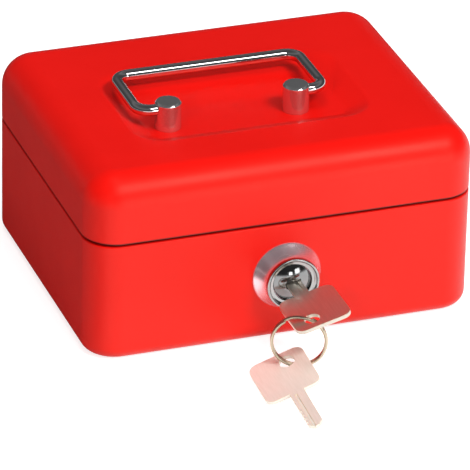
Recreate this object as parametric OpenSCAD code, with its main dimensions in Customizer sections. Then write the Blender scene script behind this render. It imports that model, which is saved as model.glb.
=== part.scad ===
// Small steel cash box: drawn body, drawn lid with a sunken top, swinging bail handle,
// cam lock with its key turned in it, split ring with a spare key, lift-out coin tray.
// Frame: origin at the middle of the flat base, +X right, +Y to the hinges, +Z up. Millimetres.

/* [Box] */
// Overall width of the box
box_w = 152; // [140:1:170]
// Overall depth of the box
box_d = 124; // [116:1:140]
// Height of the lid's flat top above the base
box_h = 74; // [70:1:90]
// Radius of the four upright corners
corner_r = 13; // [12.6:0.1:16]
// Sheet thickness of body and lid
sheet_t = 0.8; // [0.6:0.1:1]
// Radius between the walls and the base
base_r = 4.6; // [2:0.1:8]
// Height of the body's outer wall
body_wall_h = 47.2; // [42:0.1:56]
// How far the body's upper rim is set in from the wall
rim_inset = 1.2; // [1.1:0.1:2]
// Height of the joggle from wall to rim
joggle_h = 0.5; // [0.3:0.1:2]
// Height of the rim above the body's outer wall
rim_h = 5.2; // [3:0.1:6]

/* [Lid] */
// Gap of the seam between body wall and lid edge
seam_gap = 1.2; // [0.6:0.1:2]
// Radius between the lid's walls and its top
lid_top_r = 12; // [6:0.1:12.4]
// Width of the sunken panel at the lid's top face
recess_w = 94; // [90:1:104]
// Depth front to back of the sunken panel
recess_d = 59.4; // [52:0.1:64]
// How deep the panel is sunk
recess_depth = 3.5; // [2:0.1:5]
// Width of the panel's sloping border
recess_slope = 8.5; // [4:0.1:9]
// Front to back place of the line behind which the panel rises to its back border
rise_y = -3.5; // [-9:0.1:2]
// Radius of the panel's corners
recess_r = 13; // [10:0.1:16]
// Sideways place of the panel's middle
recess_x = -1.5; // [-4:0.1:4]
// Front to back place of the panel's middle
recess_y = -4.6; // [-8:0.1:0]

/* [Handle] */
// Sideways place of the handle's middle
handle_x = -6.6; // [-8:0.1:0]
// Front to back place of the handle's pivot
handle_y = -16.6; // [-18:0.1:-12]
// Spacing of the two posts
post_pitch = 50.6; // [44:0.1:54]
// Height of a post above the sunken panel
post_h = 10.9; // [10:0.1:13]
// Radius of a post at its base
post_base_r = 5.1; // [5:0.1:6]
// Radius of a post below its bevelled top
post_top_r = 5; // [4.6:0.1:5.4]
// Bevel round the top of a post
post_bevel = 0.7; // [0.3:0.1:1]
// Diameter of the handle's wire
wire_d = 4.4; // [3.6:0.1:4.8]
// Height of the handle's pivot above the sunken panel
pivot_h = 7.8; // [7:0.1:8.2]
// Distance between the middles of the two handle arms
bail_w = 73.4; // [70:0.1:80]
// Distance from pivot to the middle of the grip
bail_reach = 31; // [26:0.1:36]
// Bend radius of the wire, to its middle
bend_r = 5.5; // [4:0.1:7]
// How far each wire end reaches into its post
wire_end_in = 3.8; // [2.5:0.1:4.5]
// Running clearance of the wire in its posts
wire_clear = 0.05; // [0.02:0.01:0.1]

/* [Fixings] */
// Radius of the post screws
screw_r = 1.5; // [1.2:0.1:1.8]
// Radius of the post screws' heads
screw_head_r = 2.9; // [2.4:0.1:3.4]
// Thickness of the post screws' heads
screw_head_h = 1.8; // [1.4:0.1:2.2]
// How far a screw reaches into its post
screw_in = 3.4; // [2:0.1:3.8]
// Outer radius of the washers under the lid
washer_r = 4.2; // [3.6:0.1:5]
// Thickness of the washers under the lid
washer_t = 0.6; // [0.4:0.1:1]
// Clearance round screws and rivets in the sheet
hole_clear = 0.15; // [0.1:0.05:0.3]

/* [Hinges] */
// Distance of each hinge's middle from the side of the box
hinge_inset = 34; // [30:1:44]
// Length of a hinge along its pin
hinge_len = 26; // [22:1:32]
// Length of the lid's knuckle
lid_knuckle_len = 10.4; // [8:0.1:14]
// Gap between neighbouring knuckles
knuckle_gap = 0.3; // [0.2:0.05:0.6]
// Outer radius of the knuckles
knuckle_r = 2.1; // [1.8:0.1:2.4]
// Radius of the hinge pins
pin_r = 1; // [0.8:0.1:1.2]
// Running clearance of the pins in the lid's knuckles
pin_clear = 0.05; // [0.02:0.01:0.1]
// Thickness of the hinge leaves
leaf_t = 0.9; // [0.7:0.1:1.1]
// Height of each hinge leaf
leaf_h = 12; // [9:0.5:13]
// Gap between a knuckle and the box's back wall
knuckle_wall_gap = 0.4; // [0.3:0.1:0.6]
// Radius of a rivet's shank
rivet_r = 1.3; // [1:0.1:1.6]
// Radius of a rivet's outer head
rivet_head_r = 2.3; // [2:0.1:2.6]
// Height of a rivet's outer head
rivet_head_h = 0.8; // [0.5:0.1:1]
// Height of a rivet's closed end inside
rivet_tail_h = 0.6; // [0.4:0.1:0.8]
// Distance of each rivet from its hinge's middle
rivet_dx = 8; // [6:0.5:9]

/* [Lock] */
// Height of the lock above the base
lock_z = 26.3; // [24:0.1:30]
// Radius of the lock's flange on the box
flange_r = 13.4; // [12.5:0.1:15]
// Thickness of the flange's edge
flange_t = 0.9; // [0.6:0.1:1.4]
// Distance the lock stands out of the box
lock_out = 8.2; // [7.5:0.1:9.5]
// Radius of the lock's neck behind its face ring
neck_r = 9.9; // [9.4:0.1:10]
// How hollow the cone between flange and neck is, 1 is straight
cone_hollow = 1.3; // [1:0.05:1.6]
// Outer radius of the bright face ring
face_r = 10.3; // [10:0.1:11]
// Length of the face ring
face_ring_l = 2.2; // [1.6:0.1:2.6]
// Radius of the lock's barrel inside the box
barrel_r = 8.5; // [8.1:0.1:8.8]
// Length of the barrel behind the box's front face
barrel_len = 16.5; // [14:0.1:18]
// Radius of the turning plug
plug_r = 5.5; // [5.2:0.1:5.8]
// Running clearance of the plug in its barrel
plug_clear = 0.05; // [0.02:0.01:0.1]
// Radius of the plug's domed head
plug_head_r = 7.3; // [6.8:0.1:7.4]
// Length of the straight part of the plug's head
plug_head_l = 3.2; // [2.4:0.1:3.4]
// Height of the plug's dome
dome_h = 2; // [1.2:0.1:2.4]
// Gap round and behind the plug's head
head_gap = 0.3; // [0.2:0.05:0.5]
// Length of the plug behind the barrel
plug_tail = 1.6; // [1:0.1:2.5]
// Width of the plug's square end
square_w = 4; // [3.6:0.1:4.4]
// Radius across corners of the lock's nut
nut_r = 11.8; // [10.5:0.1:12.2]
// Thickness of the lock's nut
nut_t = 3; // [2:0.1:4]
// Thickness of the washer under the nut
nut_washer_t = 0.8; // [0.5:0.1:1.2]
// Clearance of nut, washer and panel round the barrel
barrel_clear = 0.1; // [0.05:0.05:0.2]
// Thickness of the cam
cam_t = 1.6; // [1.2:0.1:2]
// Width of the cam's arm
cam_w = 6; // [5:0.1:6.4]
// Length of the cam from its pivot to its tip
cam_len = 14; // [12.5:0.1:14.5]
// Angle of the key above level, its right edge up
key_angle = 15; // [5:1:30]
// Radius of the cam screw's head
cam_screw_head_r = 3.3; // [2.9:0.1:3.6]
// Number of wafers in the plug
wafer_n = 4; // [3:1:4]
// Thickness of a wafer
wafer_t = 0.8; // [0.6:0.1:0.9]
// Spacing of the wafers
wafer_pitch = 2; // [1.8:0.1:2.2]

/* [Lid catch] */
// Sheet thickness of the catch
catch_t = 1.2; // [1:0.1:1.5]
// Front to back width of the catch's leg
catch_leg_w = 7.6; // [6:0.1:8]
// Height of the catch's arm on the lid's front wall
catch_arm_h = 7.4; // [5:0.1:8]
// Gap between the arm and the body's rim
catch_rim_gap = 1.5; // [1:0.1:2.5]
// Width of the catch's flange on the lid's front wall
catch_flange_w = 11; // [8:0.5:14]
// Play between the cam and the hook under it
catch_play = 0.3; // [0.2:0.05:0.5]
// Gap between the cam's tip and the catch's leg
cam_tip_gap = 4; // [3:0.1:5]
// Gap between the hook's end and the lock's barrel
hook_barrel_gap = 1.1; // [0.6:0.1:1.4]

/* [Coin tray] */
// Height of the tray's rim above the base
tray_top = 51.5; // [48:0.1:52]
// Height of the coin tray
tray_h = 21.5; // [18:0.1:22]
// Wall thickness of the tray
tray_wall = 1.8; // [1.4:0.1:2.2]
// Thickness of the tray's floor
tray_floor = 1.6; // [1.2:0.1:2]
// Gap between the tray and the body's rim
tray_gap = 2.2; // [1.5:0.1:3]
// Front to back size of the tray
tray_d = 93.5; // [88:0.5:94]
// Radius of the tray's corners
tray_r = 9; // [8:0.1:12]
// Radius of the corners of the coin cups
cup_r = 6; // [3:0.1:8]
// Size front to back of the three front cups
front_cup_d = 40; // [30:0.5:50]
// Width of each rail that carries the tray
rail_w = 6.5; // [5:0.1:8]
// Height of each rail
rail_h = 8; // [5:0.1:12]
// Thickness of the rails
rail_t = 1; // [0.8:0.1:1.5]
// Length of the rails
rail_len = 80; // [60:1:86]
// Gap between the tray and its rails
rail_gap = 0.3; // [0.2:0.05:0.5]

/* [Keys] */
// Width of the key's head
key_head_w = 21.7; // [20:0.1:23]
// Length of the key's head
key_head_l = 23.7; // [21:0.1:25]
// Radius of the head's corners
key_corner_r = 3.6; // [2.5:0.1:5]
// Sideways shift of the head from the blade
key_head_shift = 0.7; // [0:0.1:1.5]
// Thickness of the keys
key_t = 1.5; // [1.2:0.1:1.8]
// Width of the key's blade
blade_w = 5.6; // [5:0.1:6]
// Length of the key's blade
blade_l = 22; // [20:0.5:24]
// How far the blade's tip sits behind the plug's face
blade_in = 13; // [11:0.5:14]
// Clearance of the blade in its keyway
keyway_clear = 0.3; // [0.2:0.05:0.4]
// Radius of the hole in the key's head
key_hole_r = 3; // [2.6:0.1:3.2]
// Sideways place of the hole from the blade's middle
key_hole_x = -2.6; // [-4:0.1:0]
// Distance of the hole's middle from the head's outer edge
key_hole_in = 5.8; // [5:0.1:7]

/* [Split ring] */
// Radius of the ring to the middle of its wire
ring_r = 10; // [9:0.1:11]
// Radius of the ring's wire
ring_wire_r = 0.62; // [0.5:0.01:0.7]
// Sideways offset of the ring's two turns from its middle
ring_turn = 0.56; // [0.45:0.01:0.6]
// Turn of the hanging ring about the upright
ring_yaw = -19.3; // [-30:0.1:-10]
// Place on the ring where the lock's key hangs, from its top
ring_top_angle = 28; // [20:1:34]
// Place on the ring where the spare key hangs, from its bottom
ring_low_angle = 24; // [20:1:40]
// Roll of the spare key, its right edge up
spare_roll = 20; // [8:1:22]
// Slope of the spare key down to its tip
spare_slope = 5.5; // [4:0.1:7]

/* [Hidden] */
$fn = 72;
eps = 0.01;
steel = [0.80, 0.09, 0.08];
chrome = [0.82, 0.83, 0.85];
zinc = [0.66, 0.67, 0.68];
nickel = [0.80, 0.76, 0.70];
brass = [0.80, 0.62, 0.30];
plastic = [0.16, 0.16, 0.17];

corner_ax = box_w / 2 - corner_r;
corner_ay = box_d / 2 - corner_r;
front_y = -box_d / 2;
back_y = box_d / 2;
lid_edge_z = body_wall_h + seam_gap;
rim_top_z = body_wall_h + rim_h;
panel_z = box_h - recess_depth;
panel_back_y = recess_y + recess_d / 2;
thin = 0.01;
pivot_z = panel_z + pivot_h;
post_dx = post_pitch / 2;
wire_r = wire_d / 2;

hinge_x = box_w / 2 - hinge_inset;
hinge_z = body_wall_h + seam_gap / 2;
hinge_y = back_y + knuckle_wall_gap + knuckle_r;
rivet_body_z = hinge_z - leaf_h * 0.58;
rivet_lid_z = hinge_z + leaf_h * 0.68;

lock_face_y = front_y - lock_out;
face_ring_back_y = lock_face_y + face_ring_l;
head_floor_y = lock_face_y + plug_head_l + dome_h + head_gap;
head_back_y = head_floor_y - head_gap;
dome_base_y = head_back_y - plug_head_l;
dome_front_y = dome_base_y - dome_h;
dome_ball_r = (plug_head_r * plug_head_r + dome_h * dome_h) / (2 * dome_h);
barrel_end_y = front_y + barrel_len;
plug_end_y = barrel_end_y + plug_tail;
cam_back_y = plug_end_y + cam_t;
blade_tip_y = dome_front_y + blade_in;
key_shoulder_y = blade_tip_y - blade_l;
key_end_y = key_shoulder_y - key_head_l;
key_hole_y = key_end_y + key_hole_in;
keyway_w = blade_w + 2 * keyway_clear;
keyway_t = key_t + 2 * keyway_clear;
wafer_w = 2 * sqrt(plug_r * plug_r - 6.25) - 0.2;
wafer_first_y = head_back_y + 2.2;

hook_top_z = lock_z - cam_w / 2 - catch_play;
leg_x = cam_len + cam_tip_gap;
hook_end_x = barrel_r + hook_barrel_gap;
leg_back_y = cam_back_y + 3.9;
catch_arm_z = rim_top_z + catch_rim_gap;

tray_w = box_w - 2 * (rim_inset + sheet_t + tray_gap);
tray_back_y = back_y - rim_inset - sheet_t - tray_gap;
tray_mid_y = tray_back_y - tray_d / 2;
tray_z = tray_top - tray_h;
rail_top_z = tray_z - rail_gap;
rail_x = box_w / 2 - sheet_t;
cup_in_w = tray_w - 2 * tray_wall;
cup_in_d = tray_d - 2 * tray_wall;
back_cup_d = cup_in_d - front_cup_d - tray_wall;
front_cup_w = (cup_in_w - 2 * tray_wall) / 3;
back_cup_w = (cup_in_w - tray_wall) / 2;

// The lock key's hole in the box's frame
hang_x = key_hole_x * cos(key_angle);
hang_z = lock_z + key_hole_x * sin(key_angle);
ring_mid_x = hang_x - ring_r * sin(ring_top_angle) * cos(ring_yaw);
ring_mid_y = key_hole_y - ring_r * sin(ring_top_angle) * sin(ring_yaw);
ring_mid_z = hang_z - ring_r * cos(ring_top_angle);
spare_x = ring_mid_x - ring_r * sin(ring_low_angle) * cos(ring_yaw);
spare_y = ring_mid_y - ring_r * sin(ring_low_angle) * sin(ring_yaw);
spare_z = ring_mid_z - ring_r * cos(ring_low_angle);

// Carries a flat outline round a rounded rectangle: x is the distance from the corner's axis
module sweep_round(w, d, r) {
  a = w / 2 - r;
  b = d / 2 - r;
  translate([a, b, 0]) rotate_extrude(angle = 90) children();
  translate([-a, b, 0]) rotate([0, 0, 90]) rotate_extrude(angle = 90) children();
  translate([-a, -b, 0]) rotate([0, 0, 180]) rotate_extrude(angle = 90) children();
  translate([a, -b, 0]) rotate([0, 0, 270]) rotate_extrude(angle = 90) children();
  translate([a, b, 0]) rotate([90, 0, 0]) linear_extrude(2 * b) children();
  translate([-a, -b, 0]) rotate([90, 0, 180]) linear_extrude(2 * b) children();
  translate([-a, b, 0]) rotate([90, 0, 90]) linear_extrude(2 * a) children();
  translate([a, -b, 0]) rotate([90, 0, 270]) linear_extrude(2 * a) children();
}

// A block inside the corner axes of a rounded rectangle
module core_block(w, d, r, z0, z1) {
  a = w / 2 - r;
  b = d / 2 - r;
  translate([-a, -b, z0]) cube([2 * a, 2 * b, z1 - z0]);
}

// Half outline of a block with a rounded upper and a rounded lower edge
module edge_outline(r, z0, z1, rt, rb) {
  translate([0, z0 + rb]) square([r, z1 - z0 - rt - rb]);
  if (rt > 0) {
    translate([0, z0 + rb]) square([r - rt, z1 - z0 - rb]);
    translate([r - rt, z1 - rt]) intersection() {
      circle(rt);
      square(rt);
    }
  }
  if (rb > 0) {
    translate([0, z0]) square([r - rb, z1 - z0 - rt]);
    translate([r - rb, z0 + rb]) intersection() {
      circle(rb);
      translate([0, -rb]) square(rb);
    }
  }
}

// Outline of the body: wall, joggle and rim, set in by t
module body_outline(t, z0, z1) {
  edge_outline(corner_r - t, z0, body_wall_h - t * 0.4, 0, base_r - t);
  polygon([
    [0, z0 + base_r],
    [corner_r - t, z0 + base_r],
    [corner_r - t, body_wall_h - t * 0.4],
    [corner_r - rim_inset - t, body_wall_h + joggle_h - t * 0.4],
    [corner_r - rim_inset - t, z1],
    [0, z1]
  ]);
}

module body_shell() {
  color(steel)
  difference() {
    union() {
      sweep_round(box_w, box_d, corner_r) body_outline(0, 0, rim_top_z);
      core_block(box_w, box_d, corner_r, 0, rim_top_z);
    }
    union() {
      sweep_round(box_w, box_d, corner_r) body_outline(sheet_t, sheet_t, rim_top_z + 1);
      core_block(box_w, box_d, corner_r, sheet_t, rim_top_z + 1);
    }
    translate([0, front_y - 1, lock_z]) rotate([-90, 0, 0]) cylinder(r = barrel_r + barrel_clear, h = 3);
    for (sx = [-1, 1])
      for (dx = [-1, 1])
        translate([sx * hinge_x + dx * rivet_dx, back_y - 3, rivet_body_z])
          rotate([-90, 0, 0]) cylinder(r = rivet_r + hole_clear, h = 5);
  }
}

// Flat outline of the sunken panel with its border drawn in by inset, its back edge at back_y and corners of radius r
module panel_outline(inset, back_y, r) {
  side = recess_w / 2 - inset - r;
  hull()
    for (sx = [-1, 1]) {
      translate([recess_x + sx * side, recess_y - recess_d / 2 + inset + r]) circle(r);
      translate([recess_x + sx * side, back_y - r]) circle(r);
    }
}

// Room above the panel: a flat floor in front, sloping borders and a long even rise at the back
module panel_cut(drop, top) {
  hull() {
    translate([0, 0, panel_z - drop]) linear_extrude(thin)
      panel_outline(recess_slope, rise_y, recess_r - recess_slope);
    translate([0, 0, box_h - drop]) linear_extrude(top - box_h + drop)
      panel_outline(0, panel_back_y, recess_r);
  }
}

module lid_shell() {
  color(steel)
  difference() {
    union() {
      sweep_round(box_w, box_d, corner_r) edge_outline(corner_r, lid_edge_z, box_h, lid_top_r, 0);
      core_block(box_w, box_d, corner_r, lid_edge_z, box_h);
    }
    difference() {
      union() {
        sweep_round(box_w, box_d, corner_r)
          edge_outline(corner_r - sheet_t, lid_edge_z - 1, box_h - sheet_t, lid_top_r - sheet_t, 0);
        core_block(box_w, box_d, corner_r, lid_edge_z - 1, box_h - sheet_t);
      }
      panel_cut(sheet_t, box_h + 1);
    }
    panel_cut(0, box_h + 2);
    for (s = [-1, 1])
      translate([handle_x + s * post_dx, handle_y, panel_z - 3]) cylinder(r = screw_r + hole_clear, h = 5);
    for (sx = [-1, 1])
      for (dx = [-1, 1])
        translate([sx * hinge_x + dx * rivet_dx, back_y - 3, rivet_lid_z])
          rotate([-90, 0, 0]) cylinder(r = rivet_r + hole_clear, h = 5);
  }
}

module wire_bend() {
  rotate_extrude(angle = 90) translate([bend_r, 0]) circle(wire_r);
}

// One half of the handle's wire, lying in the XY plane with its pivot on the X axis
module bail_half() {
  hx = bail_w / 2;
  start = post_dx + post_top_r - wire_end_in;
  translate([start, 0, 0]) rotate([0, 90, 0]) cylinder(r = wire_r, h = hx - bend_r - start);
  translate([hx - bend_r, bend_r, 0]) rotate([0, 0, 270]) wire_bend();
  translate([hx, bend_r, 0]) rotate([-90, 0, 0]) cylinder(r = wire_r, h = bail_reach - 2 * bend_r);
  translate([hx - bend_r, bail_reach - bend_r, 0]) wire_bend();
  translate([0, bail_reach, 0]) rotate([0, 90, 0]) cylinder(r = wire_r, h = hx - bend_r);
}

module bail_handle() {
  color(chrome)
  translate([handle_x, handle_y, pivot_z]) {
    bail_half();
    mirror([1, 0, 0]) bail_half();
  }
}

// A post with its side bore towards +X and its screw bore below
module post() {
  bore_r = wire_r + wire_clear;
  difference() {
    rotate_extrude() polygon([
      [0, 0],
      [post_base_r, 0],
      [post_base_r, 0.5],
      [post_top_r, post_h - post_bevel * 2],
      [post_top_r, post_h - post_bevel],
      [post_top_r - post_bevel, post_h],
      [0, post_h]
    ]);
    translate([post_top_r - wire_end_in - 0.3, 0, pivot_h])
      rotate([0, 90, 0]) cylinder(r = bore_r, h = post_base_r + 4);
    translate([0, 0, -1]) cylinder(r = screw_r + 0.02, h = screw_in + 1.3);
  }
}

module handle_post_left() {
  color(chrome)
  translate([handle_x - post_dx, handle_y, panel_z]) mirror([1, 0, 0]) post();
}

module handle_post_right() {
  color(chrome)
  translate([handle_x + post_dx, handle_y, panel_z]) post();
}

module handle_screws() {
  color(zinc)
  for (s = [-1, 1])
    translate([handle_x + s * post_dx, handle_y, panel_z - sheet_t - washer_t - screw_head_h])
      difference() {
        union() {
          cylinder(r = screw_head_r, h = screw_head_h);
          cylinder(r = screw_r, h = screw_head_h + washer_t + sheet_t + screw_in);
        }
        translate([-2, -0.35, -1]) cube([4, 0.7, 1.8]);
        translate([-0.35, -2, -1]) cube([0.7, 4, 1.8]);
      }
}

module handle_washers() {
  color(zinc)
  for (s = [-1, 1])
    translate([handle_x + s * post_dx, handle_y, panel_z - sheet_t - washer_t])
      difference() {
        cylinder(r = washer_r, h = washer_t);
        translate([0, 0, -1]) cylinder(r = screw_r + hole_clear, h = washer_t + 2);
      }
}

// A knuckle of length len, centred on the pin, with a pin bore of radius br
module knuckle(len, br) {
  rotate([0, 90, 0])
    difference() {
      cylinder(r = knuckle_r, h = len);
      translate([0, 0, -1]) cylinder(r = br, h = len + 2);
    }
}

module body_leaf() {
  end_len = (hinge_len - lid_knuckle_len) / 2 - knuckle_gap;
  difference() {
    union() {
      translate([-hinge_len / 2, back_y, hinge_z - leaf_h])
        cube([hinge_len, leaf_t, leaf_h]);
      translate([-hinge_len / 2, hinge_y, hinge_z])
        rotate([0, 90, 0]) cylinder(r = knuckle_r, h = hinge_len);
    }
    translate([-hinge_len / 2 + end_len, back_y - 1, hinge_z - knuckle_r - knuckle_gap - 0.1])
      cube([hinge_len - 2 * end_len, knuckle_r * 2 + 4, knuckle_r * 2 + 4]);
    translate([-hinge_len / 2 - 1, hinge_y, hinge_z])
      rotate([0, 90, 0]) cylinder(r = pin_r + 0.01, h = hinge_len + 2);
    for (dx = [-1, 1])
      translate([dx * rivet_dx, back_y - 1, rivet_body_z])
        rotate([-90, 0, 0]) cylinder(r = rivet_r + hole_clear, h = 4);
  }
}

module lid_leaf() {
  clear_z = hinge_z + knuckle_r + knuckle_gap;
  difference() {
    union() {
      translate([-hinge_len / 2, back_y, clear_z])
        cube([hinge_len, leaf_t, hinge_z + leaf_h - clear_z]);
      translate([-lid_knuckle_len / 2, back_y, hinge_z])
        cube([lid_knuckle_len, leaf_t, leaf_h]);
      translate([-lid_knuckle_len / 2, hinge_y, hinge_z])
        rotate([0, 90, 0]) cylinder(r = knuckle_r, h = lid_knuckle_len);
    }
    translate([-hinge_len / 2 - 1, hinge_y, hinge_z])
      rotate([0, 90, 0]) cylinder(r = pin_r + pin_clear, h = hinge_len + 2);
    for (dx = [-1, 1])
      translate([dx * rivet_dx, back_y - 1, rivet_lid_z])
        rotate([-90, 0, 0]) cylinder(r = rivet_r + hole_clear, h = 4);
  }
}

module hinge_pin() {
  head = 0.7;
  translate([-hinge_len / 2 - head, hinge_y, hinge_z])
    rotate([0, 90, 0]) {
      cylinder(r = pin_r * 1.6, h = head);
      cylinder(r = pin_r, h = hinge_len + head + 0.2);
      translate([0, 0, hinge_len + head]) cylinder(r = pin_r * 1.6, h = head);
    }
}

module hinge_left_body_leaf() {
  color(zinc)
  translate([-hinge_x, 0, 0]) body_leaf();
}

module hinge_left_lid_leaf() {
  color(zinc)
  translate([-hinge_x, 0, 0]) lid_leaf();
}

module hinge_left_pin() {
  color(zinc)
  translate([-hinge_x, 0, 0]) hinge_pin();
}

module hinge_right_body_leaf() {
  color(zinc)
  translate([hinge_x, 0, 0]) body_leaf();
}

module hinge_right_lid_leaf() {
  color(zinc)
  translate([hinge_x, 0, 0]) lid_leaf();
}

module hinge_right_pin() {
  color(zinc)
  translate([hinge_x, 0, 0]) hinge_pin();
}

// A rivet through a leaf and the back wall, its head outside
module rivet() {
  translate([0, back_y + leaf_t, 0]) rotate([-90, 0, 0])
    cylinder(r1 = rivet_head_r, r2 = rivet_head_r - 0.8, h = rivet_head_h);
  translate([0, back_y - sheet_t - 0.1, 0]) rotate([-90, 0, 0])
    cylinder(r = rivet_r, h = sheet_t + leaf_t + 0.3);
  translate([0, back_y - sheet_t - rivet_tail_h, 0]) rotate([-90, 0, 0])
    cylinder(r = rivet_head_r - 0.2, h = rivet_tail_h);
}

module rivet_rows(z) {
  for (sx = [-1, 1])
    for (dx = [-1, 1])
      translate([sx * hinge_x + dx * rivet_dx, 0, z]) rivet();
}

module hinge_body_rivets() {
  color(zinc)
  rivet_rows(rivet_body_z);
}

module hinge_lid_rivets() {
  color(zinc)
  rivet_rows(rivet_lid_z);
}

// Turns a part drawn about the Z axis so that its +Z points into the box along the lock
module on_lock() {
  translate([0, 0, lock_z]) rotate([-90, 0, 0]) children();
}

module lock_housing() {
  cone_r = flange_r - 0.3;
  cone_y = front_y - flange_t;
  steps = 6;
  color(chrome)
  on_lock()
    rotate_extrude() polygon([
      [plug_r + plug_clear, barrel_end_y],
      [barrel_r, barrel_end_y],
      [barrel_r, front_y],
      [flange_r, front_y],
      [flange_r, front_y - flange_t * 0.5],
      for (i = [0 : steps])
        [
          neck_r + (cone_r - neck_r) * pow(1 - i / steps, cone_hollow),
          cone_y + (face_ring_back_y - cone_y) * i / steps
        ],
      [plug_head_r + head_gap, face_ring_back_y],
      [plug_head_r + head_gap, head_floor_y],
      [plug_r + plug_clear, head_floor_y]
    ]);
}

module lock_face_ring() {
  inner = plug_head_r + head_gap;
  color(chrome)
  on_lock()
    rotate_extrude() polygon([
      [inner, face_ring_back_y],
      [neck_r, face_ring_back_y],
      [face_r, face_ring_back_y - 0.5],
      [face_r, lock_face_y + 0.5],
      [face_r - 0.15, lock_face_y + 0.15],
      [face_r - 0.5, lock_face_y],
      [face_r - 0.8, lock_face_y + 0.15],
      [face_r - 1.2, lock_face_y + 0.8],
      [face_r - 1.7, lock_face_y + 1.2],
      [inner, lock_face_y + 1.4]
    ]);
}

module lock_plug() {
  color(chrome)
  translate([0, 0, lock_z]) rotate([0, -key_angle, 0])
  difference() {
    union() {
      translate([0, head_back_y, 0]) rotate([-90, 0, 0]) cylinder(r = plug_r, h = plug_end_y - head_back_y);
      translate([0, dome_base_y, 0]) rotate([-90, 0, 0]) cylinder(r = plug_head_r, h = plug_head_l);
      intersection() {
        translate([0, dome_front_y + dome_ball_r, 0]) sphere(r = dome_ball_r);
        translate([0, dome_front_y - 1, 0]) rotate([-90, 0, 0]) cylinder(r = plug_head_r, h = dome_h + 1.5);
      }
      translate([-square_w / 2, plug_end_y - 1, -square_w / 2])
        cube([square_w, cam_t + 0.9, square_w]);
    }
    translate([-keyway_w / 2, dome_front_y - 1, -keyway_t / 2])
      cube([keyway_w, blade_in + 1 + 0.6, keyway_t]);
    for (i = [0 : wafer_n - 1])
      translate([-plug_r - 1, wafer_first_y + i * wafer_pitch - 0.1, -2.5])
        cube([2 * plug_r + 2, wafer_t + 0.2, 5]);
    translate([0, plug_end_y - 5, 0]) rotate([-90, 0, 0]) cylinder(r = 1.5 + 0.02, h = 10);
  }
}

module lock_wafers() {
  color(brass)
  translate([0, 0, lock_z]) rotate([0, -key_angle, 0])
  for (i = [0 : wafer_n - 1])
    difference() {
      translate([-wafer_w / 2, wafer_first_y + i * wafer_pitch, -2.5])
        cube([wafer_w, wafer_t, 5]);
      translate([-keyway_w / 2, wafer_first_y + i * wafer_pitch - 1, -keyway_t / 2])
        cube([keyway_w, wafer_t + 2, keyway_t]);
    }
}

module lock_washer() {
  color(zinc)
  on_lock()
    translate([0, 0, front_y + sheet_t])
      difference() {
        cylinder(r = nut_r, h = nut_washer_t);
        translate([0, 0, -1]) cylinder(r = barrel_r + barrel_clear, h = nut_washer_t + 2);
      }
}

module lock_nut() {
  color(zinc)
  on_lock()
    translate([0, 0, front_y + sheet_t + nut_washer_t])
      difference() {
        cylinder(r = nut_r, h = nut_t, $fn = 6);
        translate([0, 0, -1]) cylinder(r = barrel_r + 0.02, h = nut_t + 2);
      }
}

module lock_cam() {
  color(zinc)
  translate([0, plug_end_y, lock_z]) rotate([0, -key_angle, 0])
  difference() {
    union() {
      rotate([-90, 0, 0]) cylinder(r = plug_r, h = cam_t);
      translate([-cam_w / 2, 0, 0]) cube([cam_w, cam_t, cam_len - 1]);
      translate([-cam_w / 2 + 1, 0, 0]) cube([cam_w - 2, cam_t, cam_len]);
      for (s = [-1, 1])
        translate([s * (cam_w / 2 - 1), 0, cam_len - 1]) rotate([-90, 0, 0]) cylinder(r = 1, h = cam_t);
    }
    translate([-square_w / 2 - 0.03, -1, -square_w / 2 - 0.03])
      cube([square_w + 0.06, cam_t + 2, square_w + 0.06]);
  }
}

module cam_screw() {
  color(zinc)
  translate([0, cam_back_y, lock_z]) rotate([-90, 0, 0])
  difference() {
    union() {
      translate([0, 0, -5.5]) cylinder(r = 1.5, h = 6);
      cylinder(r = cam_screw_head_r, h = 1.8);
    }
    translate([-4, -0.4, 0.9]) cube([8, 0.8, 2]);
  }
}

module lid_catch() {
  wall_y = front_y + sheet_t;
  leg_z = hook_top_z - catch_t;
  color(zinc) {
    translate([-leg_x - catch_t, wall_y, catch_arm_z])
      cube([catch_t, leg_back_y - wall_y, catch_arm_h]);
    translate([-leg_x - catch_t, leg_back_y - catch_leg_w, leg_z])
      cube([catch_t, catch_leg_w, catch_arm_z + catch_arm_h - leg_z]);
    translate([-leg_x - catch_t, leg_back_y - catch_leg_w, leg_z])
      cube([leg_x + catch_t - hook_end_x, catch_leg_w, catch_t]);
    translate([-leg_x - catch_flange_w, wall_y, catch_arm_z])
      cube([catch_flange_w, catch_t, catch_arm_h]);
  }
}

// A cup cut with rounded upright corners
module cup(w, d, r, z0, z1) {
  translate([0, 0, z0])
    linear_extrude(z1 - z0) {
      square([w - 2 * r, d], center = true);
      square([w, d - 2 * r], center = true);
      for (sx = [-1, 1])
        for (sy = [-1, 1])
          translate([sx * (w / 2 - r), sy * (d / 2 - r)]) circle(r);
    }
}

module coin_tray() {
  front_mid = tray_mid_y - cup_in_d / 2 + front_cup_d / 2;
  back_mid = tray_mid_y + cup_in_d / 2 - back_cup_d / 2;
  color(plastic)
  difference() {
    translate([0, tray_mid_y, 0]) cup(tray_w, tray_d, tray_r, tray_z, tray_top);
    for (i = [-1 : 1])
      translate([i * (front_cup_w + tray_wall), front_mid, 0])
        cup(front_cup_w, front_cup_d, cup_r, tray_z + tray_floor, tray_top + 1);
    for (i = [-1, 1])
      translate([i * (back_cup_w + tray_wall) / 2, back_mid, 0])
        cup(back_cup_w, back_cup_d, cup_r, tray_z + tray_floor, tray_top + 1);
  }
}

module rail() {
  translate([rail_x - rail_t, -rail_len / 2, rail_top_z - rail_h]) cube([rail_t, rail_len, rail_h]);
  translate([rail_x - rail_w, -rail_len / 2, rail_top_z - rail_t]) cube([rail_w, rail_len, rail_t]);
}

module tray_rail_left() {
  color(steel)
  translate([0, 6, 0]) mirror([1, 0, 0]) rail();
}

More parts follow.
